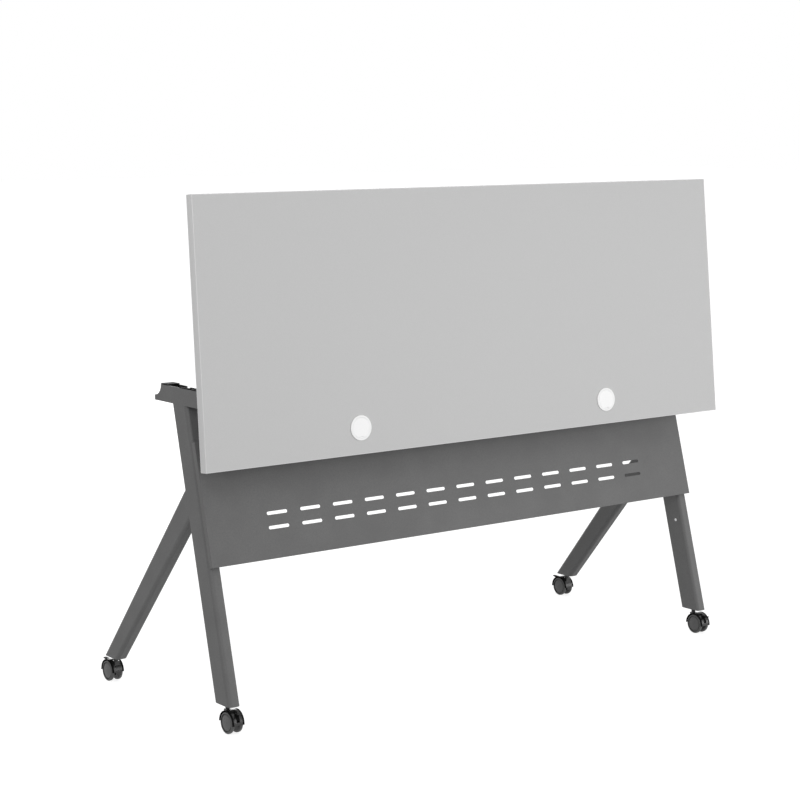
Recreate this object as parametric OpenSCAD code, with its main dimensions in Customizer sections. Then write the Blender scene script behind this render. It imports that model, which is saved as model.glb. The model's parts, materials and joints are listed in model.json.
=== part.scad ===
// Flip top training table, folded, on four twin-wheel casters.
// Millimetres. +X runs along the table, -Y is the audience side with the
// modesty panel, +Y is the user side, and +Z is up from the floor.
// Left means -X and right means +X, as seen from the audience side.

/* [Table top] */
// Length of the top, side to side
top_w = 1550; // [1500:10:1900]
// Depth of the top, from the audience edge to the user edge
top_d = 600; // [560:10:750]
// Thickness of the top
top_t = 22; // [18:1:30]
// Thickness of the plastic edge band
band_t = 2; // [1:0.1:3]
// Angle that the top turns through between folded and level
fold_angle = 85; // [80:1:88]
// Distance from the audience edge of the top back to the pivot
pivot_setback = 150; // [130:1:190]
// Distance from the underside of the top down to the pivot
pivot_drop = 19; // [18:0.5:20]
// Gap between the level top and the arms
top_gap = 3; // [2:0.1:4]

/* [Cable grommets] */
// Distance of the left grommet from the middle of the table
grommet_left = 361; // [250:1:600]
// Distance of the right grommet from the middle of the table
grommet_right = 391; // [250:1:600]
// Distance of the grommets from the audience edge of the top
grommet_in = 60; // [50:1:100]
// Outer diameter of the grommet flange
grommet_d = 57; // [56:0.5:64]
// Diameter of the hole in the top
grommet_hole_d = 50; // [44:0.5:52]
// Thickness of the flange above the writing surface
flange_t = 2.5; // [2:0.1:4]
// Wall of the grommet liner
liner_wall = 2; // [1.5:0.1:3]
// Radius of the cable notch in the cap
notch_r = 10; // [8:0.5:12]
// Height of the cable notch above the cap's lower edge
notch_rise = 4.5; // [4:0.1:6]
// Thickness of the cap
cap_t = 2; // [1.5:0.1:2.4]
// Depth of the skirt under the cap
skirt_h = 6; // [4:0.5:10]

/* [Frame] */
// Distance from each end of the top in to the outer face of its leg frame
frame_inset = 45; // [35:1:175]
// Distance between the front and the rear caster axles
axle_span = 525.5; // [480:0.5:600]
// Width of the leg tubes, side to side
leg_w = 30; // [26:1:32]
// Depth of the front leg tube
leg_d = 60; // [56:1:64]
// Depth of the rear leg tube at its foot
rear_leg_d = 46.5; // [42:0.5:50]
// Depth of the rear leg tube at its upper end
rear_top_d = 60.5; // [56:0.5:62]
// Corner radius of the leg tubes
leg_r = 9; // [6:0.5:11]
// Wall of the leg tubes
leg_t = 2; // [1.5:0.1:2.5]
// Lean of the front legs and the modesty panel
leg_lean = 15; // [12:0.5:18]
// Lean of the rear legs
rear_lean = 40; // [37:0.1:42]
// Height of the steel foot plug in each leg
plug_h = 18; // [16:1:22]
// Distance along the front leg up to the link hole
link_up = 232; // [180:1:270]
// Radius of the link hole
link_r = 2.6; // [2:0.1:3.5]
// Radius of the white plug head over the link hole
plug_head_r = 3.5; // [3.2:0.1:4.5]

/* [Arms] */
// Height of the arms' upper face above the floor
arm_top_z = 738; // [700:1:760]
// Height of the arm
arm_h = 38; // [36:1:40]
// Width of the arm
arm_w = 32; // [32:1:36]
// Wall of the arm's cheeks and floor
arm_wall = 3; // [2.5:0.1:3.4]
// Length of the arm from the pivot back to its rear tip
arm_l = 235.5; // [225:0.5:260]
// Distance of the pivot in front of the middle between the axles
pivot_front = 207; // [198:1:218]
// Radius of the scoop cut in the arm's rear end
scoop_r = 27.5; // [26:0.5:28]
// Height of the arm's rear tip under the scoop
tip_h = 12; // [11.5:0.1:12.5]

/* [Tilt bracket] */
// Outer width of the tilt bracket
bracket_w = 22; // [21:0.5:22.5]
// Thickness of the bracket's cheeks
bracket_t = 2.5; // [2:0.1:3]
// Thickness of the bracket's base under the top
base_t = 3; // [2.5:0.1:3.2]
// Depth of the cheeks below the pivot
cheek_low = 11; // [10.5:0.1:12]
// Radius of the pivot bolt
pivot_r = 4; // [3.5:0.1:5]
// Radius of the striker pin
striker_r = 3; // [2.5:0.1:3.2]
// Distance of the striker pin below the pivot
striker_low = 6; // [5.5:0.1:6.5]

/* [Lock lever] */
// Distance from the arm's rear tip forward to the lever's pin
lock_back = 50.5; // [48:0.5:54]
// Distance from the lever's pin to the striker pin
lock_reach = 14; // [13.5:0.1:15]
// Angle that the lever turns through from open to locked
lock_angle = 42; // [38:1:43]
// Radius of the lever's pin
lock_pin_r = 3; // [2.5:0.1:3.2]
// Thickness of the lever, side to side
lever_w = 10; // [8:0.5:12]
// Width of the lever's hook finger
finger_w = 6; // [5:0.1:6.2]
// Thickness of the lever's finger paddle
paddle_t = 3; // [2.4:0.1:3.2]

/* [Modesty panel] */
// Height of the panel's lower edge above the floor
panel_z = 356; // [330:1:370]
// Height of the panel along its slope
panel_h = 278; // [240:1:290]
// Depth of the panel's folded edges
panel_depth = 13; // [11:0.5:13]
// Thickness of the panel's sheet steel
sheet_t = 1.5; // [1:0.1:2]
// Distance from the legs' front faces to the panel's front face
panel_standoff = 14.3; // [14:0.1:18]
// Width of the lips behind the panel's ends
lip_w = 22; // [20:0.5:28]
// Number of slots in a row
slot_n = 13; // [9:1:13]
// Distance from slot to slot along a row
slot_pitch = 90.5; // [80:0.5:100]
// Length of a slot
slot_l = 55.5; // [40:0.5:65]
// Height of a slot
slot_h = 7.5; // [5:0.5:12]
// Distance from the panel's lower edge up to the lower row
slot_low = 69.3; // [50:0.1:90]
// Distance between the two rows
slot_rise = 32.2; // [24:0.1:44]

/* [Crossbeam] */
// Height of the crossbeam's middle above the floor
beam_z = 656; // [600:1:656]
// Height of the crossbeam tube
beam_h = 50; // [40:1:60]
// Depth of the crossbeam tube
beam_d = 30; // [25:1:32]
// Wall of the crossbeam tube
beam_t = 2; // [1.5:0.1:3]
// Thickness of the end plates
plate_t = 3; // [2:0.5:4]

/* [Casters] */
// Diameter of the wheels
wheel_d = 48; // [46:1:52]
// Width of one wheel
wheel_w = 8.5; // [8:0.1:10]
// Thickness of the hood's web between the wheels
web_w = 12.4; // [12.2:0.1:14.4]
// Thickness of the hood's shroud
hood_t = 1.5; // [1.2:0.1:2]
// Distance of the axle beyond the stem
trail = 16.5; // [16:0.5:18]
// Radius of the stem where it shows
stem_r = 5; // [4.8:0.1:5.5]
// Radius of the stem's journal in the hood
journal_r = 4; // [3.5:0.1:4.2]
// Height of the stem that shows between leg and hood
stem_show = 10; // [9:0.5:14]
// Length of the stem that is screwed into the leg
stem_in = 14; // [12:0.5:15]
// Radius of the wheel axle
axle_r = 3; // [2.5:0.1:3.5]
// Reach of the brake lever beyond the axle
brake_reach = 37.5; // [36:0.5:42]
// Width of the brake lever
brake_w = 8; // [7:0.2:8.6]

/* [Hidden] */

// Clearances, overruns and fineness
run_gap = 0.05;
side_gap = 0.2;
soft_gap = 0.3;
cut_over = 1;
$fn = 64;

// Casters: the axle's height is the wheel's radius, and all else follows it
wheel_r = wheel_d / 2;
wheel_gap = 2;
web_gap = 0.4;
hood_r = wheel_r + wheel_gap + hood_t;
hood_z = wheel_r + hood_r;
wheel_in = web_w / 2 + web_gap;
hood_w = 2 * (wheel_in + wheel_w) + 2 * web_gap;
boss_sink = 1.5;
boss_top = hood_z - boss_sink;
boss_wall = 2.1;
boss_r = journal_r + boss_wall;
foot_z = boss_top + stem_show;
boss_h = 7;
journal_l = 18.5;
hood_drop = 2;
tread_r = 3;
rim_r = 20;
groove_w = 2;
groove_d = 2.5;
dome_rise = 1.4;
wheel_skin = 2.2;
axle_boss_wall = 4;
axle_boss_r = axle_r + axle_boss_wall;
window_rib = 2;
hood_inner_end = 180;
hood_inner_close = 190;
web_cut_angle = -60;
brake_hinge_r = 20;
brake_hinge_angle = 50;
brake_rise = 23.5;
brake_t = 2.6;
brake_tip_t = 1.4;
tongue_low = 18;
tongue_high = 66;
tab_low = 42;
brake_hub_r = 3.4;
brake_pin_r = 1.5;
ear_gap = 0.3;
window_low = 10;
window_high = 72;

// Stems and legs
frame_w = top_w - 2 * frame_inset;
stem_y = axle_span / 2 - trail;
leg_x = frame_w / 2 - leg_w / 2;
arm_x = frame_w / 2 - arm_w / 2;
arm_low_z = arm_top_z - arm_h;
crotch_z = foot_z + 2 * stem_y / (tan(leg_lean) + tan(rear_lean));
rear_leg_l = (crotch_z - foot_z) / cos(rear_lean);
rear_taper = atan((rear_top_d - rear_leg_d) / 2 / rear_leg_l);
leg_l = (arm_low_z - foot_z) / cos(leg_lean);
slab_w = 2 * leg_w;
slab_d = 4 * stem_y;
link_y = -8;
plug_head_t = 1;
plug_shank_out = 2;
plug_shank_l = leg_t + plug_shank_out;

// Arm and pivot
pivot_y = -pivot_front;
pivot_z = arm_top_z + top_gap - pivot_drop;
nose_r = pivot_drop - top_gap;
arm_front_y = pivot_y - nose_r;
arm_rear_y = pivot_y + arm_l;
channel_w = arm_w - 2 * arm_wall;
floor_z = arm_low_z + arm_wall;
scoop_z = arm_low_z + tip_h + scoop_r;
scoop_y = arm_rear_y - scoop_r;
bolt_head_r = 7;
bolt_head_h = 4;
nut_r = 7;
nut_h = 6;
washer_r = 9;

// Top in the level pose; the whole top is then turned up by fold_angle
under_z = arm_top_z + top_gap;
face_z = under_z + top_t;
top_front_y = pivot_y - pivot_setback;
liner_gap = 0.1;
cap_gap = 0.3;
rim_w = 4.5;
cap_r = grommet_d / 2 - rim_w - cap_gap;

// Tilt bracket, lock lever and striker pin
lock_y = arm_rear_y - lock_back;
lock_z = pivot_z - striker_low;
striker_y = lock_y - lock_reach;
striker_edge = 3;
bracket_end = striker_y + striker_r + striker_edge;
pivot_edge = 9;
bracket_nose_r = pivot_r + pivot_edge;
inner_w = bracket_w - 2 * bracket_t;
cheek_z = pivot_z - cheek_low;
screw_r = 2;
screw_l = 13;
screw_head_r = 4.5;
screw_head_h = 2.4;
bracket_screw_shares = [0.2, 0.45, 0.7, 0.88];
hub_wall = 3;
hub_r = lock_pin_r + hub_wall;
finger_over = 5;
finger_l = lock_reach + finger_over;
finger_locked = 68;
finger_angle = finger_locked + lock_angle;
paddle_short = 9.5;
paddle_l = lock_back - arm_wall - paddle_short;
paddle_angle = -12;
housing_wall = 3.4;
housing_front = 2;
pad_share = 0.34;
housing_y = lock_y - lock_pin_r - housing_front;
housing_cap_t = 4;
pad_y = pivot_y + pad_share * (bracket_end - pivot_y);
pad_l = 40;
glide_t = 1.7;
cover_gap = 0.5;
cover_t = top_gap - cover_gap;
inner_drop = 4;

// Where the arm's inner cheek is cut down, and the glides with the shares of the
// cover's thickness on them, as shares of the way from the lock housing to the pivot
housing_to_pivot = housing_y - pivot_y;
inner_cut_shares = [0.19, 0.88];
glide_shares = [[0.01, 0.18], [0.28, 0.505], [0.55, 0.79]];
glide_cover_shares = [0, 1, 1];
buffer_l = 12;
buffer_h = 3;

// Modesty panel, in the leaning frame of the front legs
panel_y = -leg_d / 2 - panel_standoff;
panel_low = (panel_z - foot_z + panel_y * sin(leg_lean)) / cos(leg_lean);
spacer_t = panel_standoff - panel_depth;
spacer_w = 12;
spacer_h = 20;
panel_screw_r = 2.5;
panel_screw_in = 6;
panel_screw_inset = 45;
slot_ups = [slot_low, slot_low + slot_rise];

// Crossbeam
beam_y = -stem_y + (beam_z - foot_z) * tan(leg_lean);
beam_end = frame_w / 2 - leg_w - plate_t;
beam_screw_r = 3;
beam_screw_head_r = 5;
beam_screw_head_h = 3;
beam_screw_in = 6;
plate_flange = 18;
plate_edge = 2;
plate_d = beam_d + 2 * plate_edge;

// Colours
shell_grey = "#c4c4c4";
band_grey = "#bababa";
grommet_white = "#f2f2f2";
frame_grey = "#666666";
panel_grey = "#6e6e6e";
dark = "#1e1e1e";
wheel_grey = "#4a4a4a";
hood_grey = "#3c3c3c";
zinc = "#b4b4b8";

// Helpers

// An outline drawn with its x along Y and its y along Z, w wide along X
module across(w) {
  rotate([90, 0, 90]) linear_extrude(w, center = true) children();
}

// A rod along X, centred
module cross_rod(r, l) {
  rotate([0, 90, 0]) cylinder(r = r, h = l, center = true);
}

// A w by d rectangle with round corners
module round_rect(w, d, r) {
  square([w - 2 * r, d], center = true);
  square([w, d - 2 * r], center = true);
  for (sx = [-1, 1], sy = [-1, 1])
    translate([sx * (w / 2 - r), sy * (d / 2 - r)]) circle(r);
}

// Turns what is drawn for the level top up into the folded pose
module folded() {
  translate([0, pivot_y, pivot_z]) rotate([fold_angle, 0, 0])
    translate([0, -pivot_y, -pivot_z]) children();
}

// Frame of a front leg: z runs up the leg from the middle of its foot
module leaning() {
  translate([0, -stem_y, foot_z]) rotate([-leg_lean, 0, 0]) children();
}

// Frame of a rear leg: z runs up the leg from the middle of its foot
module leaning_back() {
  translate([0, stem_y, foot_z]) rotate([rear_lean, 0, 0]) children();
}

// Table top

module grommet_places(side = 0) {
  if (side <= 0)
    translate([-grommet_left, top_front_y + grommet_in, face_z]) children();
  if (side >= 0)
    translate([grommet_right, top_front_y + grommet_in, face_z]) children();
}

module bracket_screw_places() {
  for (s = [-1, 1], share = bracket_screw_shares)
    translate([s * arm_x, pivot_y + share * (bracket_end - pivot_y), under_z - base_t])
      children();
}

module top_board() {
  color(shell_grey) folded() difference() {
    translate([-top_w / 2 + band_t, top_front_y + band_t, under_z])
      cube([top_w - 2 * band_t, top_d - 2 * band_t, top_t]);
    grommet_places()
      translate([0, 0, -top_t - cut_over])
        cylinder(d = grommet_hole_d, h = top_t + 2 * cut_over);
    bracket_screw_places() cylinder(r = screw_r, h = screw_l);
  }
}

module edge_band() {
  color(band_grey) folded() translate([0, top_front_y + top_d / 2, under_z])
    linear_extrude(top_t) difference() {
      square([top_w, top_d], center = true);
      square([top_w - 2 * band_t, top_d - 2 * band_t], center = true);
    }
}

module grommet_liners() {
  color(grommet_white) folded() grommet_places() difference() {
    union() {
      cylinder(d = grommet_d, h = flange_t);
      translate([0, 0, -top_t])
        cylinder(d = grommet_hole_d - 2 * liner_gap, h = top_t + flange_t);
    }
    translate([0, 0, -top_t - cut_over])
      cylinder(d = grommet_hole_d - 2 * liner_gap - 2 * liner_wall, h = top_t + flange_t + 2 * cut_over);
    translate([0, 0, flange_t - cap_t])
      cylinder(d = grommet_d - 2 * rim_w, h = cap_t + cut_over);
  }
}

module notch_outline(gap) {
  translate([0, notch_rise - cap_r - notch_r]) circle(notch_r - gap);
}

module grommet_cap() {
  skirt_r = grommet_hole_d / 2 - liner_gap - liner_wall - cap_gap;
  difference() {
    union() {
      translate([0, 0, flange_t - cap_t + cap_gap]) cylinder(r = cap_r, h = cap_t - cap_gap);
      translate([0, 0, flange_t - skirt_h]) cylinder(r = skirt_r, h = skirt_h);
    }
    translate([0, 0, flange_t - skirt_h - cut_over])
      cylinder(r = skirt_r - liner_wall, h = skirt_h - cap_t + cut_over);
    translate([0, 0, flange_t - skirt_h - cut_over])
      linear_extrude(skirt_h + 2 * cut_over) notch_outline(0);
  }
}

module notch_insert() {
  translate([0, 0, flange_t - cap_t + cap_gap]) linear_extrude(cap_t - cap_gap)
    intersection() {
      circle(cap_r);
      notch_outline(cap_gap);
    }
}

module grommet_cap_left() {
  color(grommet_white) folded() grommet_places(-1) grommet_cap();
}

module grommet_cap_right() {
  color(grommet_white) folded() grommet_places(1) grommet_cap();
}

module notch_insert_left() {
  color(grommet_white) folded() grommet_places(-1) notch_insert();
}

module notch_insert_right() {
  color(grommet_white) folded() grommet_places(1) notch_insert();
}

module tilt_bracket(s) {
  color(dark) folded() translate([s * arm_x, 0, 0]) difference() {
    across(bracket_w) {
      translate([pivot_y, pivot_z]) circle(bracket_nose_r);
      translate([pivot_y - bracket_nose_r, under_z - base_t])
        square([bracket_end - pivot_y + bracket_nose_r, base_t]);
      translate([pivot_y - bracket_nose_r, pivot_z])
        square([2 * bracket_nose_r, pivot_drop]);
      translate([pivot_y, cheek_z]) square([bracket_end - pivot_y, pivot_drop + cheek_low]);
    }
    translate([0, (pivot_y + bracket_end) / 2, pivot_z - cheek_low - cut_over])
      translate([-inner_w / 2, -arm_l, -arm_h])
        cube([inner_w, 2 * arm_l, arm_h + cheek_low + cut_over + pivot_drop - base_t]);
    translate([0, pivot_y, pivot_z]) cross_rod(pivot_r + run_gap, bracket_w + 2 * cut_over);
    translate([0, striker_y, lock_z]) cross_rod(striker_r, bracket_w + 2 * cut_over);
    translate([-s * arm_x, 0, 0]) bracket_screw_places()
      translate([0, 0, -cut_over]) cylinder(r = screw_r, h = base_t + 2 * cut_over);
  }
}

module striker_pins() {
  color(zinc) folded() for (s = [-1, 1])
    translate([s * arm_x, striker_y, lock_z]) cross_rod(striker_r, bracket_w);
}

module bracket_screws() {
  color(zinc) folded() bracket_screw_places() {
    cylinder(r = screw_r, h = screw_l);
    translate([0, 0, -screw_head_h]) cylinder(r = screw_head_r, h = screw_head_h);
  }
}

// Leg frames

module arm_outline() {
  difference() {
    union() {
      translate([pivot_y, arm_low_z]) square([arm_l, arm_h]);
      translate([arm_front_y, arm_low_z]) square([nose_r, pivot_z - arm_low_z]);
      translate([pivot_y, pivot_z]) circle(nose_r);
    }
    translate([arm_rear_y, scoop_z]) circle(scoop_r);
    translate([scoop_y, scoop_z]) square([scoop_r + cut_over, arm_h]);
  }
}

module arm(s) {
  color(frame_grey) translate([s * arm_x, 0, 0]) difference() {
    across(arm_w) arm_outline();
    translate([-channel_w / 2, arm_front_y - cut_over, floor_z])
      cube([channel_w, arm_rear_y - arm_wall - arm_front_y + cut_over, arm_h]);
    translate([0, pivot_y, pivot_z]) cross_rod(pivot_r, arm_w + 2 * cut_over);
    translate([0, lock_y, lock_z]) cross_rod(lock_pin_r, arm_w - arm_wall);
    translate([
      -s * (arm_w - arm_wall) / 2 - arm_wall / 2 - cut_over,
      housing_y - inner_cut_shares[1] * housing_to_pivot, arm_top_z - inner_drop
    ]) cube([
      arm_wall + 2 * cut_over,
      (inner_cut_shares[1] - inner_cut_shares[0]) * housing_to_pivot, inner_drop + cut_over
    ]);
  }
}

// The part of space between the foot of the legs and the underside of the arms
module leg_slab() {
  translate([-slab_w / 2, -slab_d / 2, foot_z]) cube([slab_w, slab_d, arm_low_z - foot_z]);
}

module leg_bar(w, d, r, l) {
  translate([0, 0, -leg_d]) linear_extrude(l + leg_d) round_rect(w, d, r);
}

// A rear leg tube, drawn smaller by inset all round: each straight bar gives one narrow face
module taper_bar(inset) {
  edge = (rear_leg_d / 2 - inset) / cos(rear_taper);
  intersection() {
    taper_side(-1, edge, inset);
    taper_side(1, edge, inset);
  }
}

module taper_side(side, edge, inset) {
  translate([0, side * edge, 0]) rotate([-side * rear_taper, 0, 0])
    translate([0, -side * leg_d, -leg_d]) linear_extrude(leg_d + rear_leg_l)
      round_rect(leg_w - 2 * inset, 2 * leg_d, leg_r - inset);
}

module front_leg_outside() {
  leaning() leg_bar(leg_w, leg_d, leg_r, leg_l + leg_d);
}

module panel_screw_places() {
  for (up = [panel_screw_inset, panel_h - panel_screw_inset])
    translate([0, -leg_d / 2, panel_low + up]) rotate([-90, 0, 0]) children();
}

module front_leg(s) {
  color(frame_grey) translate([s * leg_x, 0, 0]) intersection() {
    leg_slab();
    difference() {
      front_leg_outside();
      leaning() leg_bar(leg_w - 2 * leg_t, leg_d - 2 * leg_t, leg_r - leg_t, leg_l + leg_d);
      leaning() panel_screw_places()
        translate([0, 0, -cut_over]) cylinder(r = panel_screw_r, h = leg_t + 2 * cut_over);
      leaning() translate([-s * leg_w / 2, link_y, link_up])
        cross_rod(link_r, 2 * leg_t + cut_over);
      for (up = [-1, 1])
        translate([-s * leg_w / 2, beam_y, beam_z + up * (beam_h + plate_flange) / 2])
          cross_rod(beam_screw_r, 2 * leg_t + cut_over);
    }
  }
}

module rear_leg(s) {
  color(frame_grey) translate([s * leg_x, 0, 0]) intersection() {
    leg_slab();
    difference() {
      leaning_back() taper_bar(0);
      leaning_back() taper_bar(leg_t);
      front_leg_outside();
    }
  }
}

module stem_places() {
  for (sx = [-1, 1], sy = [-1, 1]) translate([sx * leg_x, sy * stem_y, 0]) children();
}

module foot_plugs() {
  color(dark) difference() {
    for (s = [-1, 1]) translate([s * leg_x, 0, 0]) intersection() {
      translate([-slab_w / 2, -slab_d / 2, foot_z]) cube([slab_w, slab_d, plug_h]);
      union() {
        leaning() foot_plug_bar();
        leaning_back() taper_bar(leg_t + run_gap);
      }
    }
    stem_places() translate([0, 0, foot_z - cut_over])
      cylinder(r = stem_r, h = stem_in + cut_over);
  }
}

module foot_plug_bar() {
  inset = leg_t + run_gap;
  leg_bar(leg_w - 2 * inset, leg_d - 2 * inset, leg_r - inset, 2 * plug_h);
}

module link_plugs() {
  color(grommet_white) for (s = [-1, 1])
    leaning() translate([s * (leg_x - leg_w / 2), link_y, link_up]) {
      translate([-s * plug_head_t / 2, 0, 0]) cross_rod(plug_head_r, plug_head_t);
      translate([s * plug_shank_l / 2, 0, 0]) cross_rod(link_r - run_gap, plug_shank_l);
    }
}

// Pivot, buffers and lock

module pivot_bolts() {
  color(zinc) for (s = [-1, 1]) translate([s * arm_x, pivot_y, pivot_z]) {
    cross_rod(pivot_r, arm_w + 2 * nut_h);
    translate([s * (arm_w + bolt_head_h) / 2, 0, 0]) cross_rod(bolt_head_r, bolt_head_h);
    translate([s * (arm_w / 2 + nut_h / 2), 0, 0]) cross_rod(pivot_r, nut_h);
  }
}

module pivot_nuts() {
  color(zinc) for (s = [-1, 1])
    translate([s * (arm_x - (arm_w + nut_h) / 2), pivot_y, pivot_z]) rotate([0, 90, 0])
      difference() {
        cylinder(r = nut_r, h = nut_h, center = true, $fn = 6);
        cylinder(r = pivot_r, h = nut_h + 2 * cut_over, center = true);
      }
}

module pivot_washers() {
  room = (channel_w - bracket_w) / 2;
  color(grommet_white) for (s = [-1, 1], side = [-1, 1])
    translate([s * arm_x + side * (bracket_w + room) / 2, pivot_y, pivot_z]) difference() {
      cross_rod(washer_r, room - 2 * side_gap);
      cross_rod(pivot_r, room + cut_over);
    }
}

module fold_buffers() {
  color(dark) difference() {
    for (s = [-1, 1])
      translate([s * arm_x - channel_w / 2 + side_gap, arm_front_y - buffer_l / 2, floor_z])
        cube([channel_w - 2 * side_gap, buffer_l, buffer_h]);
    folded() translate([-top_w / 2, top_front_y, under_z - soft_gap])
      cube([top_w, top_d, top_t]);
  }
}

module rest_pads() {
  pad_w = channel_w - 2 * glide_t - 2 * side_gap;
  color(dark) for (s = [-1, 1])
    translate([s * arm_x - pad_w / 2, pad_y, floor_z])
      cube([pad_w, pad_l, cheek_z - floor_z - soft_gap]);
}

module side_glides() {
  color(dark) for (s = [-1, 1], side = [-1, 1], i = [0 : len(glide_shares) - 1]) {
    run = glide_shares[i] * housing_to_pivot;
    run_l = run[1] - run[0];
    cheek_top = arm_top_z - (side == -s && i > 0 ? inner_drop : 0);
    cover = glide_cover_shares[i] * cover_t;
    translate([s * arm_x, housing_y - run[1], 0]) {
      translate([side * (channel_w - glide_t) / 2 - glide_t / 2, 0, floor_z])
        cube([glide_t, run_l, cheek_top + cover - floor_z]);
      if (cover > 0)
        translate([side * (channel_w + arm_wall - glide_t) / 2, run_l / 2, cheek_top + cover / 2])
          cube([arm_wall + glide_t, run_l, cover], center = true);
    }
  }
}

module lock_housings() {
  housing_l = scoop_y - housing_y - side_gap;
  inside_w = channel_w - 2 * side_gap - 2 * housing_wall;
  color(dark) for (s = [-1, 1]) translate([s * arm_x, 0, 0]) difference() {
    union() {
      translate([0, housing_y, floor_z])
        across(channel_w - 2 * side_gap) square([housing_l, arm_top_z + cover_t - floor_z]);
      translate([0, housing_y, arm_top_z]) across(arm_w) square([housing_l, cover_t]);
    }
    translate([-inside_w / 2, housing_y - cut_over, floor_z - cut_over])
      cube([inside_w, housing_l + 2 * cut_over, under_z - floor_z - housing_cap_t + cut_over]);
    translate([0, lock_y, lock_z]) cross_rod(lock_pin_r, channel_w + cut_over);
  }
}

module lock_pins() {
  color(zinc) for (s = [-1, 1])
    translate([s * arm_x, lock_y, lock_z]) cross_rod(lock_pin_r, arm_w - arm_wall);
}

module lock_lever(s) {
  color(dark) translate([s * arm_x, lock_y, lock_z]) difference() {
    across(lever_w) {
      circle(hub_r);
      rotate(finger_angle) {
        translate([0, -finger_w / 2]) square([finger_l - finger_w / 2, finger_w]);
        translate([finger_l - finger_w / 2, 0]) circle(finger_w / 2);
      }
      rotate(paddle_angle) {
        translate([0, -paddle_t / 2]) square([paddle_l - paddle_t / 2, paddle_t]);
        translate([paddle_l - paddle_t / 2, 0]) circle(paddle_t / 2);
      }
    }
    cross_rod(lock_pin_r + run_gap, lever_w + 2 * cut_over);
  }
}

// Crossbeam

module beam_screw_places() {
  for (s = [-1, 1], up = [-1, 1])
    translate([s * beam_end, beam_y, beam_z + up * (beam_h + plate_flange) / 2])
      rotate([0, s * 90, 0]) children();
}

module crossbeam() {
  color(frame_grey) translate([0, beam_y, beam_z]) difference() {
    cube([2 * beam_end, beam_d, beam_h], center = true);
    cube([2 * beam_end + cut_over, beam_d - 2 * beam_t, beam_h - 2 * beam_t], center = true);
  }
}

module beam_plates() {
  color(frame_grey) difference() {
    for (s = [-1, 1]) translate([s * (beam_end + plate_t / 2), beam_y, beam_z])
      cube([plate_t, plate_d, beam_h + 2 * plate_flange], center = true);
    beam_screw_places()
      translate([0, 0, -cut_over]) cylinder(r = beam_screw_r, h = plate_t + 2 * cut_over);
  }
}

module beam_screws() {
  color(zinc) beam_screw_places() {
    cylinder(r = beam_screw_r, h = plate_t + leg_t + beam_screw_in);
    translate([0, 0, -beam_screw_head_h])
      cylinder(r = beam_screw_head_r, h = beam_screw_head_h);
  }
}

// Modesty panel

module slot_row() {
  for (i = [0 : slot_n - 1])
    translate([(i - (slot_n - 1) / 2) * slot_pitch, 0]) {
      square([slot_l - slot_h, slot_h], center = true);
      for (s = [-1, 1]) translate([s * (slot_l - slot_h) / 2, 0]) circle(slot_h / 2);
    }
}

module modesty_panel() {
  inside_w = frame_w - 2 * sheet_t;
  color(panel_grey) leaning() translate([0, panel_y, panel_low]) difference() {
    translate([-frame_w / 2, 0, 0]) cube([frame_w, panel_depth, panel_h]);
    translate([-inside_w / 2, sheet_t, sheet_t])
      cube([inside_w, panel_depth - 2 * sheet_t, panel_h - 2 * sheet_t]);
    translate([-frame_w / 2 + lip_w, sheet_t, sheet_t])
      cube([frame_w - 2 * lip_w, panel_depth, panel_h - 2 * sheet_t]);
    for (up = slot_ups) translate([0, sheet_t + cut_over, up]) rotate([90, 0, 0])
      linear_extrude(sheet_t + 2 * cut_over) slot_row();
    for (s = [-1, 1]) translate([s * leg_x, -panel_y, -panel_low]) panel_screw_places()
      translate([0, 0, -spacer_t - sheet_t - cut_over])
        cylinder(r = panel_screw_r, h = sheet_t + 2 * cut_over);
  }
}

module panel_spacers() {
  color(dark) leaning() for (s = [-1, 1]) translate([s * leg_x, 0, 0]) panel_screw_places()
    translate([0, 0, -spacer_t / 2]) difference() {
      cube([spacer_w, spacer_h, spacer_t], center = true);
      cylinder(r = panel_screw_r, h = spacer_t + cut_over, center = true);
    }
}

module panel_screws() {
  head = spacer_t + sheet_t;
  color(zinc) leaning() for (s = [-1, 1]) translate([s * leg_x, 0, 0]) panel_screw_places() {
    translate([0, 0, -head]) cylinder(r = panel_screw_r, h = head + leg_t + panel_screw_in);
    translate([0, 0, -head - screw_head_h]) cylinder(r = screw_head_r, h = screw_head_h);
  }
}

// Casters, drawn with the stem's axis at the origin and the axle beyond it in +Y

module caster_stems() {
  color(dark) stem_places() {
    translate([0, 0, boss_top]) cylinder(r = stem_r, h = stem_show + stem_in);
    translate([0, 0, boss_top - journal_l]) cylinder(r = journal_r, h = journal_l);
  }
}

module at_axle() {
  translate([0, trail, wheel_r]) children();
}

// A wedge with its point at the origin, from angle a to angle b, r long
module wedge(a, b, r) {
  polygon([
    [0, 0], [r * cos(a), r * sin(a)], [r * cos((a + b) / 2), r * sin((a + b) / 2)] * 2,
    [r * cos(b), r * sin(b)]
  ]);
}

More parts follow.
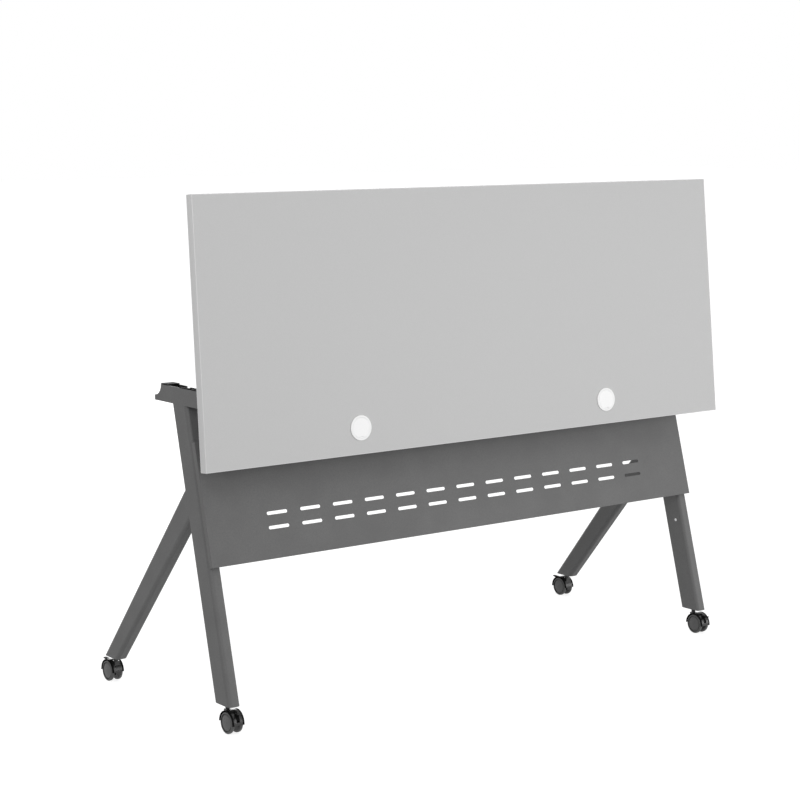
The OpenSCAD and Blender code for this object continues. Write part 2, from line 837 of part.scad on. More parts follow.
module hood() {
  hinge = brake_hinge_r * [cos(brake_hinge_angle), sin(brake_hinge_angle)];
  color(hood_grey) difference() {
    union() {
      at_axle() across(hood_w) difference() {
        circle(hood_r);
        circle(hood_r - hood_t);
        translate([-2 * hood_r, -2 * hood_r - hood_drop]) square([4 * hood_r, 2 * hood_r]);
        wedge(hood_inner_end, hood_inner_close, 2 * hood_r);
      }
      at_axle() across(web_w) {
        circle(axle_boss_r);
        difference() {
          circle(hood_r - hood_t / 2);
          translate([-2 * hood_r, -2 * hood_r - axle_boss_r])
            square([4 * hood_r, 2 * hood_r]);
          wedge(web_cut_angle, window_low, 2 * hood_r);
        }
      }
      translate([0, 0, boss_top - journal_l])
        across(web_w) translate([-boss_r, 0]) square([2 * boss_r, journal_l]);
      translate([0, 0, boss_top - boss_h]) cylinder(r = boss_r, h = boss_h);
    }
    translate([0, 0, boss_top - journal_l - cut_over])
      cylinder(r = journal_r + run_gap, h = journal_l + 2 * cut_over);
    at_axle() cross_rod(axle_r, web_w + cut_over);
    at_axle() across(brake_w + 2 * ear_gap) difference() {
      wedge(window_low, window_high, 2 * hood_r);
      circle(axle_boss_r + window_rib);
    }
    at_axle() translate([0, hinge.x, hinge.y])
      cross_rod(brake_pin_r + run_gap, web_w + cut_over);
  }
}

// One wheel, with its axis on +Z, its inner face at zero and a blind bore
module wheel() {
  core_r = rim_r - groove_w;
  dome_r = (core_r * core_r + dome_rise * dome_rise) / (2 * dome_rise);
  rotate_extrude() difference() {
    union() {
      square([wheel_r - tread_r, wheel_w]);
      translate([0, tread_r]) square([wheel_r, wheel_w - 2 * tread_r]);
      for (up = [tread_r, wheel_w - tread_r])
        translate([wheel_r - tread_r, up]) circle(tread_r);
    }
    translate([core_r, wheel_w - groove_d]) square([groove_w, groove_d + cut_over]);
    difference() {
      translate([0, wheel_w - dome_rise]) square([core_r, dome_rise + cut_over]);
      translate([0, wheel_w - dome_r]) circle(dome_r, $fn = 256);
    }
    translate([0, -cut_over]) square([axle_r + run_gap, wheel_w - wheel_skin + cut_over]);
    translate([-wheel_r, -cut_over]) square([wheel_r, wheel_w + 2 * cut_over]);
  }
}

// A tongue that fills the hood's window, with a tab that is pressed down
module brake() {
  hinge = brake_hinge_r * [cos(brake_hinge_angle), sin(brake_hinge_angle)];
  tongue_r = hood_r - side_gap;
  color(hood_grey) at_axle() {
    across(brake_w) {
      translate(hinge) circle(brake_hub_r);
      intersection() {
        wedge(tongue_low, tongue_high, 2 * hood_r);
        difference() {
          circle(tongue_r);
          circle(tongue_r - brake_t);
        }
      }
      polygon([
        hinge, [hinge.x, brake_rise], [brake_reach, brake_rise],
        [brake_reach, brake_rise - brake_tip_t], tongue_r * [cos(tab_low), sin(tab_low)]
      ]);
    }
    translate([0, hinge.x, hinge.y]) cross_rod(brake_pin_r, web_w);
  }
}

// Places a caster drawn about its stem at one of the four feet
module caster_at(sx, sy) {
  translate([sx * leg_x, sy * stem_y, 0]) rotate(sy > 0 ? 0 : 180) children();
}

module place_hood(sx, sy) {
  caster_at(sx, sy) hood();
}

module place_axle(sx, sy) {
  color(zinc) caster_at(sx, sy) at_axle()
    cross_rod(axle_r, 2 * (wheel_in + wheel_w - wheel_skin - side_gap));
}

// out is 1 for the wheel on the table's outer side and -1 for the inner one
module place_wheel(sx, sy, out) {
  color(wheel_grey) translate([sx * leg_x, sy * axle_span / 2, wheel_r])
    rotate([0, sx * out * 90, 0]) translate([0, 0, wheel_in]) wheel();
}

module place_brake(sx, sy) {
  caster_at(sx, sy) brake();
}

top_board();
edge_band();
grommet_liners();
grommet_cap_left();
grommet_cap_right();
notch_insert_left();
notch_insert_right();
tilt_bracket(-1);  // tilt_bracket_left
tilt_bracket(1);  // tilt_bracket_right
striker_pins();
bracket_screws();
arm(-1);  // arm_left
arm(1);  // arm_right
front_leg(-1);  // front_leg_left
front_leg(1);  // front_leg_right
rear_leg(-1);  // rear_leg_left
rear_leg(1);  // rear_leg_right
foot_plugs();
link_plugs();
pivot_bolts();
pivot_nuts();
pivot_washers();
fold_buffers();
rest_pads();
side_glides();
lock_housings();
lock_pins();
lock_lever(-1);  // lock_lever_left
lock_lever(1);  // lock_lever_right
crossbeam();
beam_plates();
beam_screws();
modesty_panel();
panel_spacers();
panel_screws();
caster_stems();
place_hood(-1, -1);  // hood_front_left
place_hood(1, -1);  // hood_front_right
place_hood(-1, 1);  // hood_rear_left
place_hood(1, 1);  // hood_rear_right
place_axle(-1, -1);  // axle_front_left
place_axle(1, -1);  // axle_front_right
place_axle(-1, 1);  // axle_rear_left
place_axle(1, 1);  // axle_rear_right
place_wheel(-1, -1, 1);  // outer_wheel_front_left
place_wheel(-1, -1, -1);  // inner_wheel_front_left
place_wheel(1, -1, 1);  // outer_wheel_front_right
place_wheel(1, -1, -1);  // inner_wheel_front_right
place_wheel(-1, 1, 1);  // outer_wheel_rear_left
place_wheel(-1, 1, -1);  // inner_wheel_rear_left
place_wheel(1, 1, 1);  // outer_wheel_rear_right
place_wheel(1, 1, -1);  // inner_wheel_rear_right
place_brake(-1, -1);  // brake_front_left
place_brake(1, -1);  // brake_front_right
place_brake(-1, 1);  // brake_rear_left
place_brake(1, 1);  // brake_rear_right
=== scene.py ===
# %% [markdown]
# Flip top training table, folded
#
# The real table is a laminate top on two powder-coated leg frames with twin-wheel
# casters. The photograph shows it folded up, from its front left corner. The
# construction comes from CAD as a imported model. This lesson rounds its edges,
# builds the small moulded pieces with more detail, and gives each piece the
# finish of the real one.

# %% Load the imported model
import json
from math import cos, radians, sin, tau

import bmesh
import bpy
from mathutils import Matrix, Vector


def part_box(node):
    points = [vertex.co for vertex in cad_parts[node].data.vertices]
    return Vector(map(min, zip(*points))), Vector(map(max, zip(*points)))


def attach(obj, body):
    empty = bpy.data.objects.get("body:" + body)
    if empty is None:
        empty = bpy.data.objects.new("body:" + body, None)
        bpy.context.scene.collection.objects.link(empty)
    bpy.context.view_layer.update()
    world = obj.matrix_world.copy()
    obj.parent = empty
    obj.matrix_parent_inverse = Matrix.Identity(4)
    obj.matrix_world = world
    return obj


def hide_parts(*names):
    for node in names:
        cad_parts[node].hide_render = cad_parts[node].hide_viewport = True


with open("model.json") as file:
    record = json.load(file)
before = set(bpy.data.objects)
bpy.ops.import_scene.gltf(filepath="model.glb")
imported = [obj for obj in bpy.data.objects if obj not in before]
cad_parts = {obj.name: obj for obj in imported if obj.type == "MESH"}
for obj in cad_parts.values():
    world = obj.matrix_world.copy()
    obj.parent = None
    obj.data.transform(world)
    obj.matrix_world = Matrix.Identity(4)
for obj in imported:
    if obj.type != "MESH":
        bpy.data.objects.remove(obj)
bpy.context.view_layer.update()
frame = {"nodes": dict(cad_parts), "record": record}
# The scene is in metres, and a maker measures in millimetres.
mm = 0.001

# %% [markdown]
# Camera
#
# Upright edges stay nearly parallel in the photograph, as they do when a
# photographer keeps the camera almost level and shifts the lens instead of
# tilting it down. A camera could be aimed at the table's middle, but then the
# uprights would draw together. This one was fitted to the corners of the top, the
# panel and the legs, which gave its place, turn, focal length and shift. Its
# lens's axis meets the picture above the middle, at the row named here.

# %% Place the camera
image_px = 800
axis_row_px = 260
focal_px = 2063.88
sensor_mm = 36
tilt_down = radians(4.25)
turn_right = radians(37.19)
camera = bpy.data.objects.new("camera", bpy.data.cameras.new("camera"))
bpy.context.scene.collection.objects.link(camera)
camera.location = (-3.0875, -3.9956, 1.3605)
camera.rotation_euler = (radians(90) - tilt_down, 0, -turn_right)
camera.data.lens = focal_px / image_px * sensor_mm
camera.data.sensor_width = sensor_mm
camera.data.shift_y = (axis_row_px - image_px / 2) / image_px
camera.data.clip_end = 100
bpy.context.scene.camera = camera
bpy.context.scene.view_settings.view_transform = "Standard"
print("lens in mm:", round(camera.data.lens, 2))

# %% [markdown]
# Helpers for materials
#
# A paint chart gives colours as sRGB hex values, but a shader wants linear light,
# so one function turns the first into the second. Another adds a node, sets its
# values and links what is handed to it. A third starts a material with the values
# that are the same all over it. Nodes could be placed by hand in the editor, but
# functions let the finishes share them.

# %% Define the material helpers
# A Mix node's sockets for its share and its two colours, and its colour output.
mix_share = 0
mix_dark = 6
mix_light = 7
mix_colour = 2


def linear(colour):
    """Linear red, green, blue and alpha of an sRGB hex value."""
    parts = [int(colour[i:i + 2], 16) / 255 for i in (1, 3, 5)]
    return [c / 12.92 if c <= 0.04045 else ((c + 0.055) / 1.055) ** 2.4 for c in parts] + [1]


def add_node(tree, kind, sockets, **settings):
    """Adds a node; a socket's value is a number, a colour or another node's output."""
    made = tree.nodes.new(kind)
    for name, value in settings.items():
        setattr(made, name, value)
    for name, value in sockets.items():
        if isinstance(value, bpy.types.NodeSocket):
            tree.links.new(value, made.inputs[name])
        else:
            made.inputs[name].default_value = value
    return made


def start_finish(name, **sockets):
    """A new material, its tree and its shader, whose named sockets are set."""
    material = bpy.data.materials.new(name)
    material.use_nodes = True
    tree = material.node_tree
    shader = tree.nodes["Principled BSDF"]
    for socket, value in sockets.items():
        shader.inputs[socket.replace("_", " ")].default_value = value
    return material, tree, shader


def scale_for(size_mm):
    """The scale of a noise whose features are size_mm millimetres across."""
    return 1000 / size_mm


# %% [markdown]
# Powder coat
#
# The frame's tubes, the arms and the panel are steel with a baked powder coat.
# It is matt to satin and has a fine orange-peel skin. The skin could be modelled,
# but a bump gives the same broken shine without more faces. The real skin's bumps
# are about a millimetre across, which is less than a pixel here, so they are
# drawn at 3 mm, with a faint change of tone that keeps large faces from looking
# like flat fills. The tone drifts over about 90 mm.

# %% Make the powder coats
def powder_coat(name, dark, light, roughness):
    """An orange-peel skin whose tone drifts from place to place."""
    material, tree, shader = start_finish(name, Roughness=roughness)
    place = add_node(tree, "ShaderNodeTexCoord", {}).outputs["Object"]
    peel = add_node(tree, "ShaderNodeTexNoise",
                    {"Vector": place, "Scale": scale_for(3), "Detail": 3}).outputs["Fac"]
    cloud = add_node(tree, "ShaderNodeTexNoise",
                     {"Vector": place, "Scale": scale_for(90), "Detail": 2}).outputs["Fac"]
    blend = add_node(tree, "ShaderNodeMath", {0: peel, 1: cloud}, operation="MULTIPLY")
    tone = add_node(tree, "ShaderNodeMapRange",
                    {"Value": blend.outputs["Value"], "From Min": 0.12, "From Max": 0.4})
    colour = add_node(tree, "ShaderNodeMix",
                      {mix_share: tone.outputs["Result"], mix_dark: linear(dark),
                       mix_light: linear(light)}, data_type="RGBA")
    bump = add_node(tree, "ShaderNodeBump",
                    {"Height": peel, "Strength": 0.12, "Distance": 0.4 * mm})
    tree.links.new(colour.outputs[mix_colour], shader.inputs["Base Color"])
    tree.links.new(bump.outputs["Normal"], shader.inputs["Normal"])
    return material


# The grey coat is the frame's: dark, with broad soft highlights.
grey_coat = powder_coat("powder_coat_grey", "#585858", "#626262", roughness=0.55)
# The black coat is the tilt brackets', plugs' and stems': nearly black, with a dull sheen.
black_coat = powder_coat("powder_coat_black", "#191919", "#202020", roughness=0.5)
print("powder coats:", grey_coat.name, black_coat.name)

# %% [markdown]
# Melamine laminate and its edge band
#
# The top is chipboard with a pale grey melamine skin. Its paper is printed one
# even tone, and its press plate leaves a very fine grain that takes the shine
# off. The edge is extruded ABS band. Its colour is painted paler than the
# laminate's, which is painted light: it stands in for light on the band's side
# face, which the lamps light less than the top's face. A picture of a board
# could be wrapped round the top, but a noise in the object's own space has no
# seam. Both get a slight mottle, drawn a few millimetres across so that it shows.

# %% Make the laminate and the band
def mottled(name, dark, light, roughness, grain_mm, bump, detail=3, specular=0.5):
    """One tone with a faint mottle and a fine grain in its skin."""
    material, tree, shader = start_finish(name, Roughness=roughness,
                                          Specular_IOR_Level=specular)
    place = add_node(tree, "ShaderNodeTexCoord", {}).outputs["Object"]
    grain = add_node(tree, "ShaderNodeTexNoise",
                     {"Vector": place, "Scale": scale_for(grain_mm),
                      "Detail": detail}).outputs["Fac"]
    tone = add_node(tree, "ShaderNodeMix",
                    {mix_share: grain, mix_dark: linear(dark), mix_light: linear(light)},
                    data_type="RGBA")
    skin = add_node(tree, "ShaderNodeBump",
                    {"Height": grain, "Strength": bump, "Distance": 0.3 * mm})
    tree.links.new(tone.outputs[mix_colour], shader.inputs["Base Color"])
    tree.links.new(skin.outputs["Normal"], shader.inputs["Normal"])
    return material


# Pressed melamine: an even pale grey with a dulled shine.
laminate = mottled("melamine_laminate_grey", "#c0c0c0", "#c8c8c8",
                   roughness=0.5, grain_mm=2.5, bump=0.06, detail=4)
# Extruded ABS, painted paler than the laminate as painted light on its side
# face, so that the edge is a thin bright line.
painted_light_edge_band = mottled("abs_band_painted_light", "#d4d4d4", "#dadada",
                   roughness=0.45, grain_mm=3, bump=0.05)
print("top:", laminate.name, painted_light_edge_band.name)

# %% [markdown]
# Moulded plastics and rubber
#
# Grommets are moulded in white ABS, pads in rubber, and covers, glides and
# casters in nylon. A mould is spark-eroded or polished, and each piece takes its
# skin from it: the first looks matt, and the second shines. Each could have nodes
# of its own, but they differ only in colour, shine and grain, so the laminate's
# function makes them all.

# %% Make the plastics and the rubber
# ABS from a polished mould: clean white with a soft shine.
white_abs = mottled("moulded_white_abs", "#f5f5f5", "#fbfbfb",
                    roughness=0.35, grain_mm=2, bump=0.03)
# Nylon from an eroded mould: black, and so matt that it mirrors almost nothing.
# On the casters' hood ends its darkness is partly painted shade.
black_nylon = mottled("moulded_black_nylon", "#0c0c0c", "#121212",
                      roughness=0.6, grain_mm=1.5, bump=0.15, specular=0.04)
# Nylon from a polished mould: black, with clear highlights along its curves.
glossy_nylon = mottled("polished_black_nylon", "#1a1a1a", "#222222",
                       roughness=0.27, grain_mm=1.5, bump=0.05)
# Nylon for wheels: dark grey, with a satin shine that shows the rings on a wheel.
wheel_nylon = mottled("moulded_wheel_nylon", "#434343", "#4b4b4b",
                      roughness=0.42, grain_mm=1.5, bump=0.08)
# Moulded rubber: black and dull, with a coarse skin.
rubber = mottled("black_rubber", "#141414", "#1b1b1b",
                 roughness=0.75, grain_mm=2, bump=0.2)
print("plastics:", white_abs.name, black_nylon.name, glossy_nylon.name, wheel_nylon.name)

# %% [markdown]
# Zinc plate
#
# Screws, bolts, pins and axles are steel with bright zinc. Tumbling in the
# plating barrel leaves it finely scratched. Single scratches could be drawn, but
# they are far below a pixel, so it is a metal of middling roughness whose tone
# and shine change a little over a few millimetres.

# %% Make the zinc plate
zinc, tree, shader = start_finish("bright_zinc_plate", Metallic=1)
place = add_node(tree, "ShaderNodeTexCoord", {}).outputs["Object"]
blotch = add_node(tree, "ShaderNodeTexNoise",
                  {"Vector": place, "Scale": scale_for(4), "Detail": 5}).outputs["Fac"]
sheen = add_node(tree, "ShaderNodeMix",
                 {mix_share: blotch, mix_dark: linear("#a9aaae"),
                  mix_light: linear("#c9cacd")}, data_type="RGBA")
dull = add_node(tree, "ShaderNodeMapRange",
                {"Value": blotch, "To Min": 0.28, "To Max": 0.48})
tree.links.new(sheen.outputs[mix_colour], shader.inputs["Base Color"])
tree.links.new(dull.outputs["Result"], shader.inputs["Roughness"])
print("metal:", zinc.name)

# %% [markdown]
# From a shape to a piece
#
# Each new piece is built as a bmesh and ends as an object at the origin, with its
# place in its mesh, as the CAD nodes have. It could be built in the middle and its
# object moved, but the export puts every object at the origin, and its place
# would be lost. A CAD node whose shape is right keeps its mesh and only gets a
# finish.

# %% Define how a piece is finished
sharp_angle = radians(32)
body_of_node = {node: body for body, nodes in frame["record"]["behaviour"]["bodies"].items()
                for node in nodes}


def finish_piece(name, shape, material, node):
    """Turns a bmesh into a smooth-shaded object that stands for a CAD node."""
    mesh = bpy.data.meshes.new(name)
    shape.to_mesh(mesh)
    shape.free()
    mesh.shade_smooth()
    mesh.set_sharp_from_angle(angle=sharp_angle)
    mesh.materials.append(material)
    piece = bpy.data.objects.new(name, mesh)
    bpy.context.scene.collection.objects.link(piece)
    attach(piece, body_of_node[node])
    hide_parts(node)
    return piece


def give(material, *nodes):
    """Gives CAD nodes that keep their shape their finish."""
    for node in nodes:
        slots = frame["nodes"][node].data.materials
        if not slots:
            slots.append(material)
        for index in range(len(slots)):
            slots[index] = material


print("CAD nodes:", len(body_of_node))

# %% [markdown]
# Rounded copies
#
# CAD edges are perfectly sharp, and real ones aren't. A copy of a CAD node has
# its loose triangles merged and its flat faces joined, and then its sharp edges
# are bevelled by a bend's or a mould's radius. A Bevel modifier could do it, but
# the operator takes just the edges that it is handed. A Weighted Normal modifier
# lets the large flat faces keep their own shading, so that the narrow rounds
# beside them don't tint them.

# %% Define the copies
same_point = 0.001 * mm
sliver_width = 0.1 * mm
flat_angle = radians(0.5)
corner_angle = radians(40)


def merged(node):
    """A bmesh of a CAD node with its triangles merged into flat faces."""
    shape = bmesh.new()
    shape.from_mesh(frame["nodes"][node].data)
    bmesh.ops.remove_doubles(shape, verts=shape.verts, dist=same_point)
    bmesh.ops.dissolve_limit(shape, angle_limit=flat_angle, verts=shape.verts,
                             edges=shape.edges)
    return shape


def shade_evenly(piece):
    """Lets each large flat face keep its own shading beside narrow rounds."""
    even = piece.modifiers.new("even_shading", "WEIGHTED_NORMAL")
    even.keep_sharp = True
    return piece


def rounded_copy(node, material, radius, steps=2):
    """A copy of a CAD node whose sharp edges are rounded; its radius is in metres."""
    shape = merged(node)
    sharp = [edge for edge in shape.edges
             if edge.is_manifold and edge.calc_face_angle() > corner_angle]
    bmesh.ops.bevel(shape, geom=sharp, offset=radius, offset_type="OFFSET", affect="EDGES",
                    segments=steps, profile=0.5, material=-1, clamp_overlap=True)
    return shade_evenly(finish_piece(node + "_rounded", shape, material, node))


def cleaned_copy(node, material):
    """A copy of a CAD node that is round already, with its slivers closed up."""
    shape = merged(node)
    bmesh.ops.remove_doubles(shape, verts=shape.verts, dist=sliver_width)
    bmesh.ops.dissolve_degenerate(shape, dist=sliver_width, edges=shape.edges)
    return shade_evenly(finish_piece(node + "_cleaned", shape, material, node))


# %% [markdown]
# Leg frames and panel
#
# Pressed sheet and drawn tube have small radii at their bends, and their cut
# edges are deburred. These radii could go into the CAD model, but they are too
# fine to matter there, so copies of its nodes get them here and catch the light
# as bent steel does. The legs' corners are round in the CAD already. The tapered
# rear tubes have slivers along their corners there, so a copy without them is
# used.

# %% Round the steel parts
sheet_round = 0.7 * mm
tube_round = 0.8 * mm
plate_round = 0.5 * mm
cover_round = 0.25 * mm
for side in ("left", "right"):
    rounded_copy("arm_" + side, grey_coat, sheet_round)
    rounded_copy("tilt_bracket_" + side, black_coat, plate_round)
    rounded_copy("lock_lever_" + side, black_nylon, plate_round)
    give(grey_coat, "front_leg_" + side)
    cleaned_copy("rear_leg_" + side, grey_coat)
rounded_copy("modesty_panel", grey_coat, sheet_round)
rounded_copy("crossbeam", grey_coat, tube_round)
rounded_copy("beam_plates", grey_coat, plate_round)
give(black_coat, "foot_plugs")
rounded_copy("lock_housings", black_nylon, cover_round)
rounded_copy("side_glides", black_nylon, cover_round)
give(black_nylon, "panel_spacers")
give(rubber, "rest_pads", "fold_buffers")
give(white_abs, "pivot_washers", "link_plugs")
give(black_coat, "caster_stems")
give(zinc, "lock_pins", "striker_pins")
print("steel parts rounded")

# %% [markdown]
# Table top
#
# The laminate board keeps its CAD shape, because its edge is hidden behind the
# band. The band is 2 mm thick, and a trimming cutter rounds its two outer edges
# after it is glued on. Rounding all its edges would be simpler, but it would open
# a groove beside the laminate. So only the edges on the band's outside are
# bevelled. They are found with the top turned down to level about its pivot, by
# the whole range of its joint. The board's rounded corners are made of small
# turns, and only its rims turn by more than the rim angle, which is in radians.

# %% Round the outside of the edge band
give(laminate, "top_board")
trimmed_round = 1.1 * mm
same_face = 0.01 * mm
rim_angle = 1.0
joints = frame["record"]["behaviour"]["joints"]
tilting = next(joint for joint in joints if joint["name"] == "top_tilt")
pivot = Vector(tilting["pos_m"])
tilt_range = radians(max(tilting["range_deg"]))
levelled = Matrix.Rotation(tilt_range, 3, Vector(tilting["axis"]))
band = merged("edge_band")
half_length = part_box("edge_band")[1].x
spots = {vert: levelled @ (vert.co - pivot) for vert in band.verts}
front = min(spot.y for spot in spots.values())
back = max(spot.y for spot in spots.values())


def outside(vert):
    """Whether a point of the band lies on one of its four outer faces."""
    spot = spots[vert]
    gaps = (abs(spot.x) - half_length, spot.y - front, spot.y - back)
    return min(abs(gap) for gap in gaps) < same_face


rims = [edge for edge in band.edges if edge.is_manifold and edge.calc_face_angle() > rim_angle
        and all(outside(vert) for vert in edge.verts)]
bmesh.ops.bevel(band, geom=rims, offset=trimmed_round, offset_type="OFFSET", affect="EDGES",
                segments=3, profile=0.5, material=-1, clamp_overlap=True)
# The band's finish is painted paler, as painted light on its side face.
finish_piece("edge_band_trimmed", band, painted_light_edge_band, "edge_band")
print("band edges rounded:", len(rims))

# %% [markdown]
# Cable grommets
#
# A white ABS liner has a flange that covers the drilled hole, and a loose cap
# with a cable notch and a break-out insert lies in it. They could be spun from a
# profile, but the CAD nodes have the right form already, so they only get the
# small radius that each edge of a moulding has.

# %% Round the grommets
flange_round = 0.8 * mm
cap_round = 0.4 * mm
insert_round = 0.3 * mm
rounded_copy("grommet_liners", white_abs, flange_round, steps=3)
for side in ("left", "right"):
    rounded_copy("grommet_cap_" + side, white_abs, cap_round)
    rounded_copy("notch_insert_" + side, white_abs, insert_round)
print("grommets rounded")

# %% [markdown]
# Heads of screws and bolts
#
# The heads are low buttons with a hexagon socket. One could be cut out of a
# sphere with a boolean, but rings that are bridged one to the next give an even
# skin. The last two rings are the socket's: they are drawn in to a hexagon that
# keeps its corners on the ring, and the lower one is its floor.

# %% Define a button head
round_steps = 24
sixth = tau / 6


def draw_to_hexagon(ring, place):
    """Draws the points of a ring in to a hexagon whose corners stay on the ring."""
    for vert in ring:
        spot = place.inverted() @ vert.co
        angle = Vector((spot.x, spot.y)).angle_signed(Vector((1, 0)))
        from_side_middle = angle % sixth - sixth / 2
        spot.xy *= cos(sixth / 2) / cos(from_side_middle)
        vert.co = place @ spot


def button_head(shape, centre, outward, radius, height, socket):
    """Adds a head whose underside is at centre and whose top points outward."""
    turn = outward.to_track_quat("Z", "Y").to_matrix().to_4x4()
    place = Matrix.Translation(centre) @ turn
    profile = [(radius, 0), (radius, 0.25 * height), (0.93 * radius, 0.55 * height),
               (0.78 * radius, 0.8 * height), (0.58 * radius, 0.96 * height),
               (1.12 * socket, height), (socket, height), (socket, 0.35 * height)]
    rings = [bmesh.ops.create_circle(shape, segments=round_steps, radius=ring_radius,
                                     matrix=place @ Matrix.Translation((0, 0, rise)))["verts"]
             for ring_radius, rise in profile]
    for ring in rings[-2:]:
        draw_to_hexagon(ring, place)
    for below, above in zip(rings, rings[1:]):
        sides = {edge for ring in (below, above) for vert in ring for edge in vert.link_edges
                 if edge.other_vert(vert) in ring}
        bmesh.ops.bridge_loops(shape, edges=list(sides))
    bmesh.ops.contextual_create(shape, geom=rings[-1])
    bmesh.ops.contextual_create(shape, geom=rings[0])


def shank(shape, start, end, radius):
    """Adds a plain rod between two points."""
    span = end - start
    turn = span.to_track_quat("Z", "Y").to_matrix().to_4x4()
    bmesh.ops.create_cone(shape, cap_ends=True, segments=round_steps, radius1=radius,
                          radius2=radius, depth=span.length,
                          matrix=Matrix.Translation((start + end) / 2) @ turn)


# %% [markdown]
# Places of screws and bolts
#
# The heads could be placed by hand, but when they are measured on the CAD nodes
# they follow the model. A node of screws holds several separate solids. The
# direction of each is known, and its head is at the end where its points lie
# furthest from its axis.

# %% Measure the screws
def islands(node):
    """The points of each separate solid of a CAD node."""
    shape = merged(node)
    left, solids = set(shape.verts), []
    while left:
        found, queue = set(), [left.pop()]
        while queue:
            vert = queue.pop()
            found.add(vert)
            for edge in vert.link_edges:
                other = edge.other_vert(vert)
                if other in left:
                    left.discard(other)
                    queue.append(other)
        solids.append([vert.co.copy() for vert in found])
    shape.free()
    return solids


def screw_line(spots, axis):
    """A screw's two ends, the head's first, and the direction that its head faces."""
    middle = sum(spots, Vector()) / len(spots)
    along = [(spot - middle).dot(axis) for spot in spots]
    off = [((spot - middle) - axis * step).length for spot, step in zip(spots, along)]
    wide = [step for step, reach in zip(along, off) if reach > 0.9 * max(off)]
    outward = -axis if sum(wide) / len(wide) < 0 else axis
    centre = Vector([(min(c) + max(c)) / 2 for c in zip(*spots)])
    centre -= axis * (centre - middle).dot(axis)
    head_end = centre + outward * max((spot - middle).dot(outward) for spot in spots)
    far_end = centre + outward * min((spot - middle).dot(outward) for spot in spots)
    return head_end, far_end, outward


print("screws in the brackets:", len(islands("bracket_screws")))

# %% [markdown]
# New screws and bolts
#
# The brackets' screws lie square to the folded board, the panel's square to the
# panel, and the others along the table. The CAD nodes could be kept, but their
# heads have no socket. The real ones are stock sizes, M4 to M8, so each kind gets
# a head and a socket to suit its thread.

# %% Replace the screws and bolts
def dress_screws(node, axis, head_radius, head_height, shank_radius, socket):
    """Replaces each screw of a node by a button head on a rod; sizes are in mm."""
    shape = bmesh.new()
    for spots in islands(node):
        head_end, far_end, outward = screw_line(spots, axis)
        seat = head_end - outward * head_height * mm
        button_head(shape, seat, outward, head_radius * mm, head_height * mm, socket * mm)
        shank(shape, seat, far_end, shank_radius * mm)
    finish_piece(node + "_dressed", shape, zinc, node)


board_lean = radians(90) - tilt_range
panel_lean = radians(15)
across_board = Vector((0, -cos(board_lean), sin(board_lean)))
across_panel = Vector((0, -cos(panel_lean), sin(panel_lean)))
along_table = Vector((1, 0, 0))
dress_screws("bracket_screws", across_board,
             head_radius=4.5, head_height=2.4, shank_radius=2, socket=1.9)
dress_screws("panel_screws", across_panel,
             head_radius=4.5, head_height=2.4, shank_radius=2.5, socket=1.9)
dress_screws("beam_screws", along_table,
             head_radius=5, head_height=3, shank_radius=3, socket=2.4)
dress_screws("pivot_bolts", along_table,
             head_radius=7, head_height=4, shank_radius=4, socket=3)
rounded_copy("pivot_nuts", zinc, plate_round)
print("screws and bolts dressed")

# %% [markdown]
# Wheels of the casters
#
# A caster's wheel has a crowned tread, a deep groove inside the rim, and a
# shallow dome with a hub cap in the middle. A cylinder with loop cuts could be
# scaled ring by ring, but a round part is simply one section spun round its axle.
# The section is in millimetres along the axle and out from it.

# %% Define the wheels
section_width = 8.5
wheel_section = [(6.6, 0), (6.6, 3.05), (0.25, 3.05), (0, 3.3), (0, 6.5), (0.7, 7), (0.7, 17.5),
                 (0, 18), (0, 21), (0.3, 22.4), (1, 23.4), (2, 23.85), (3, 24), (5.6, 24),
                 (6.8, 23.85), (7.6, 23.4), (8.2, 22.5), (8.5, 21.4), (8.5, 20.6),
                 (8.25, 20.3), (5.8, 20.1), (5.5, 19.8), (5.5, 18.1), (5.7, 17.8),
                 (7.2, 17.6), (7.5, 17.2), (7.85, 13), (8.2, 9), (8.35, 5.6), (8.15, 5.3),
                 (8.15, 5.0), (8.4, 4.7), (8.5, 2.4), (8.5, 0)]
wheel_steps = 96


def spin_wheel(node):
    """A spun wheel in the place of a CAD wheel, with its hub cap away from the hood."""
    low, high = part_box(node)
    centre = (low + high) / 2
    corner = node.split("_wheel_")[1]
    hood_low, hood_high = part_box("hood_" + corner)
    outward = 1 if centre.x > (hood_low.x + hood_high.x) / 2 else -1
    inner_face = low.x if outward > 0 else high.x
    stretch = outward * (high.x - low.x) / section_width
    shape = bmesh.new()
    verts = [shape.verts.new((inner_face + along * stretch, centre.y, centre.z + radius * mm))
             for along, radius in wheel_section]
    edges = [shape.edges.new(pair) for pair in zip(verts, verts[1:])]
    bmesh.ops.spin(shape, geom=verts + edges, cent=centre, axis=(1, 0, 0), angle=tau,
                   steps=wheel_steps, use_merge=True)
    bmesh.ops.remove_doubles(shape, verts=shape.verts, dist=same_point)
    bmesh.ops.recalc_face_normals(shape, faces=shape.faces)
    finish_piece(node + "_turned", shape, wheel_nylon, node)


print("points in a wheel's section:", len(wheel_section))

# %% [markdown]
# Hoods of the casters
#
# Each caster is a moulded hood with a web between its two wheels. The CAD hood
# has the right form, and a mould rounds its rims. In the photograph it shines
# between two black ends. Their darkness is partly the hood's black nylon and
# partly shade in the gaps beside the wheels, so the matt near-black finish given
# to the ends is partly painted shade. The ends could be pieces of their own, but
# they are modelled as one moulding with the rest, so the faces are divided there
# and get two finishes.

# %% Finish the casters
# The width of each end whose matt near-black finish is partly painted shade.
painted_shade_end = 4.5 * mm
hood_round = 0.4 * mm


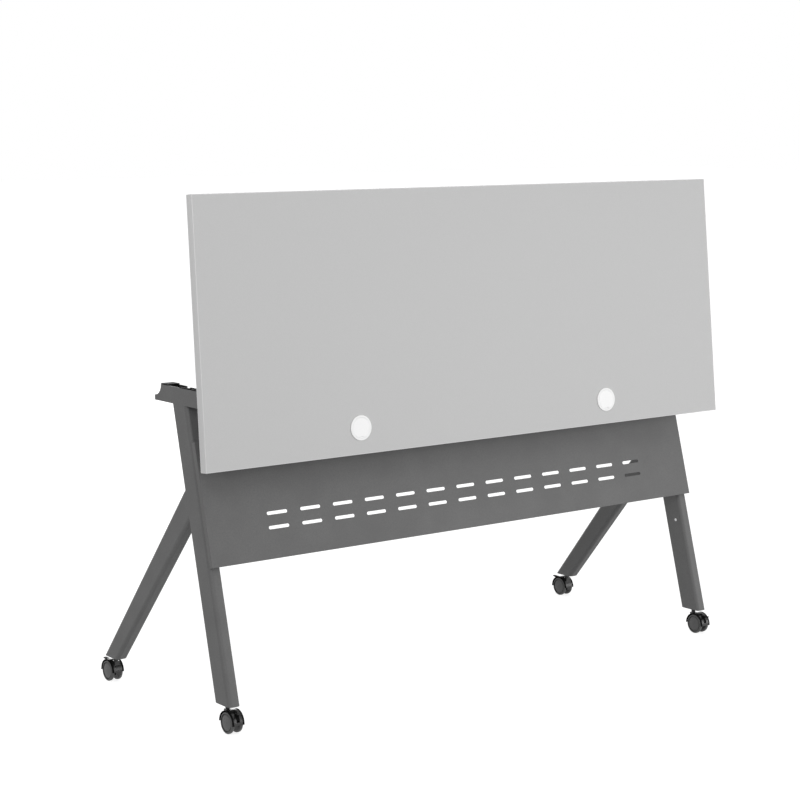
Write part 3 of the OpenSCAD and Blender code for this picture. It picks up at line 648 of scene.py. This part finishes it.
def two_finish_hood(corner):
    """A rounded hood that shines between two matt near-black ends, which are partly painted
    shade.
    """
    node = "hood_" + corner
    hood = rounded_copy(node, glossy_nylon, hood_round)
    # The second slot gives the ends a matt near-black that is partly painted shade.
    hood.data.materials.append(black_nylon)
    low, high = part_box(node)
    near, far = low.x + painted_shade_end, high.x - painted_shade_end
    shape = bmesh.new()
    shape.from_mesh(hood.data)
    for cut in (near, far):
        bmesh.ops.bisect_plane(shape, geom=shape.verts[:] + shape.edges[:] + shape.faces[:],
                               plane_co=(cut, 0, 0), plane_no=(1, 0, 0))
    for face in shape.faces:
        if not near < face.calc_center_median().x < far:
            face.material_index = 1
    shape.to_mesh(hood.data)
    shape.free()


for end in ("front", "rear"):
    for side in ("left", "right"):
        corner = end + "_" + side
        two_finish_hood(corner)
        rounded_copy("brake_" + corner, black_nylon, hood_round, steps=3)
        give(zinc, "axle_" + corner)
        for wheel in ("outer_wheel_", "inner_wheel_"):
            spin_wheel(wheel + corner)
print("casters are finished")

# %% [markdown]
# White ground
#
# The photograph has a white ground with no horizon. A bright floor would do, but
# it would light the object from below. Light Path tells the rays of the camera,
# mirrors and glass apart from the light that falls on the object, so the ground
# is seen and mirrored as white but lights the object less. The floor still takes
# a soft shadow.

# %% Build the floor and the background
def looking_rays(tree):
    """1 for rays of the camera, mirrors and glass, and 0 for light on the object."""
    path = add_node(tree, "ShaderNodeLightPath", {})
    seen = add_node(tree, "ShaderNodeMath",
                    {0: path.outputs["Is Camera Ray"], 1: path.outputs["Is Glossy Ray"]},
                    operation="MAXIMUM")
    seen = add_node(tree, "ShaderNodeMath",
                    {0: seen.outputs["Value"], 1: path.outputs["Is Transmission Ray"]},
                    operation="MAXIMUM")
    return seen.outputs["Value"]


floor_reach = 30
floor_glow = 0.8
ground_light = 0.55
floor_shape = bmesh.new()
bmesh.ops.create_grid(floor_shape, x_segments=1, y_segments=1, size=floor_reach)
floor_mesh = bpy.data.meshes.new("floor")
floor_shape.to_mesh(floor_mesh)
floor_shape.free()
floor = bpy.data.objects.new("floor", floor_mesh)
bpy.context.scene.collection.objects.link(floor)
floor_paint, tree, shader = start_finish("floor_white", Base_Color=linear("#aaaaaa"),
                                         Roughness=0.9, Emission_Color=linear("#ffffff"))
lift = add_node(tree, "ShaderNodeMath", {0: looking_rays(tree), 1: floor_glow},
                operation="MULTIPLY")
tree.links.new(lift.outputs["Value"], shader.inputs["Emission Strength"])
floor_mesh.materials.append(floor_paint)

world = bpy.data.worlds.new("studio")
bpy.context.scene.world = world
world.use_nodes = True
tree = world.node_tree
sky = tree.nodes["Background"]
sky.inputs["Color"].default_value = linear("#ffffff")
level = add_node(tree, "ShaderNodeMapRange",
                 {"Value": looking_rays(tree), "To Min": ground_light, "To Max": 1})
tree.links.new(level.outputs["Result"], sky.inputs["Strength"])
print("floor reaches in metres:", floor_reach)

# %% [markdown]
# Lamps
#
# The photograph's light is even, with soft shadows in the corners, as large soft
# boxes give. A sun would be simpler, but it draws hard shadows. So a key stands
# at the front left, a second box fills in from the front right, and a third
# lights the back, which only other views show.

# %% Light the studio
lit_point = Vector((0, 0, 0.6))


def soft_box(name, place, size, watts):
    """A square lamp that looks at the table's middle."""
    lamp = bpy.data.lights.new(name, "AREA")
    lamp.size = size
    lamp.energy = watts
    holder = bpy.data.objects.new(name, lamp)
    bpy.context.scene.collection.objects.link(holder)
    holder.location = place
    holder.rotation_euler = (lit_point - Vector(place)).to_track_quat("-Z", "Y").to_euler()


soft_box("key", (-3.6, -3.4, 2.8), size=2.5, watts=75)
soft_box("right_fill", (3.2, -4.2, 1.0), size=2.0, watts=76)
soft_box("back_fill", (1.2, 4.6, 1.6), size=2.5, watts=60)
print("studio is lit")
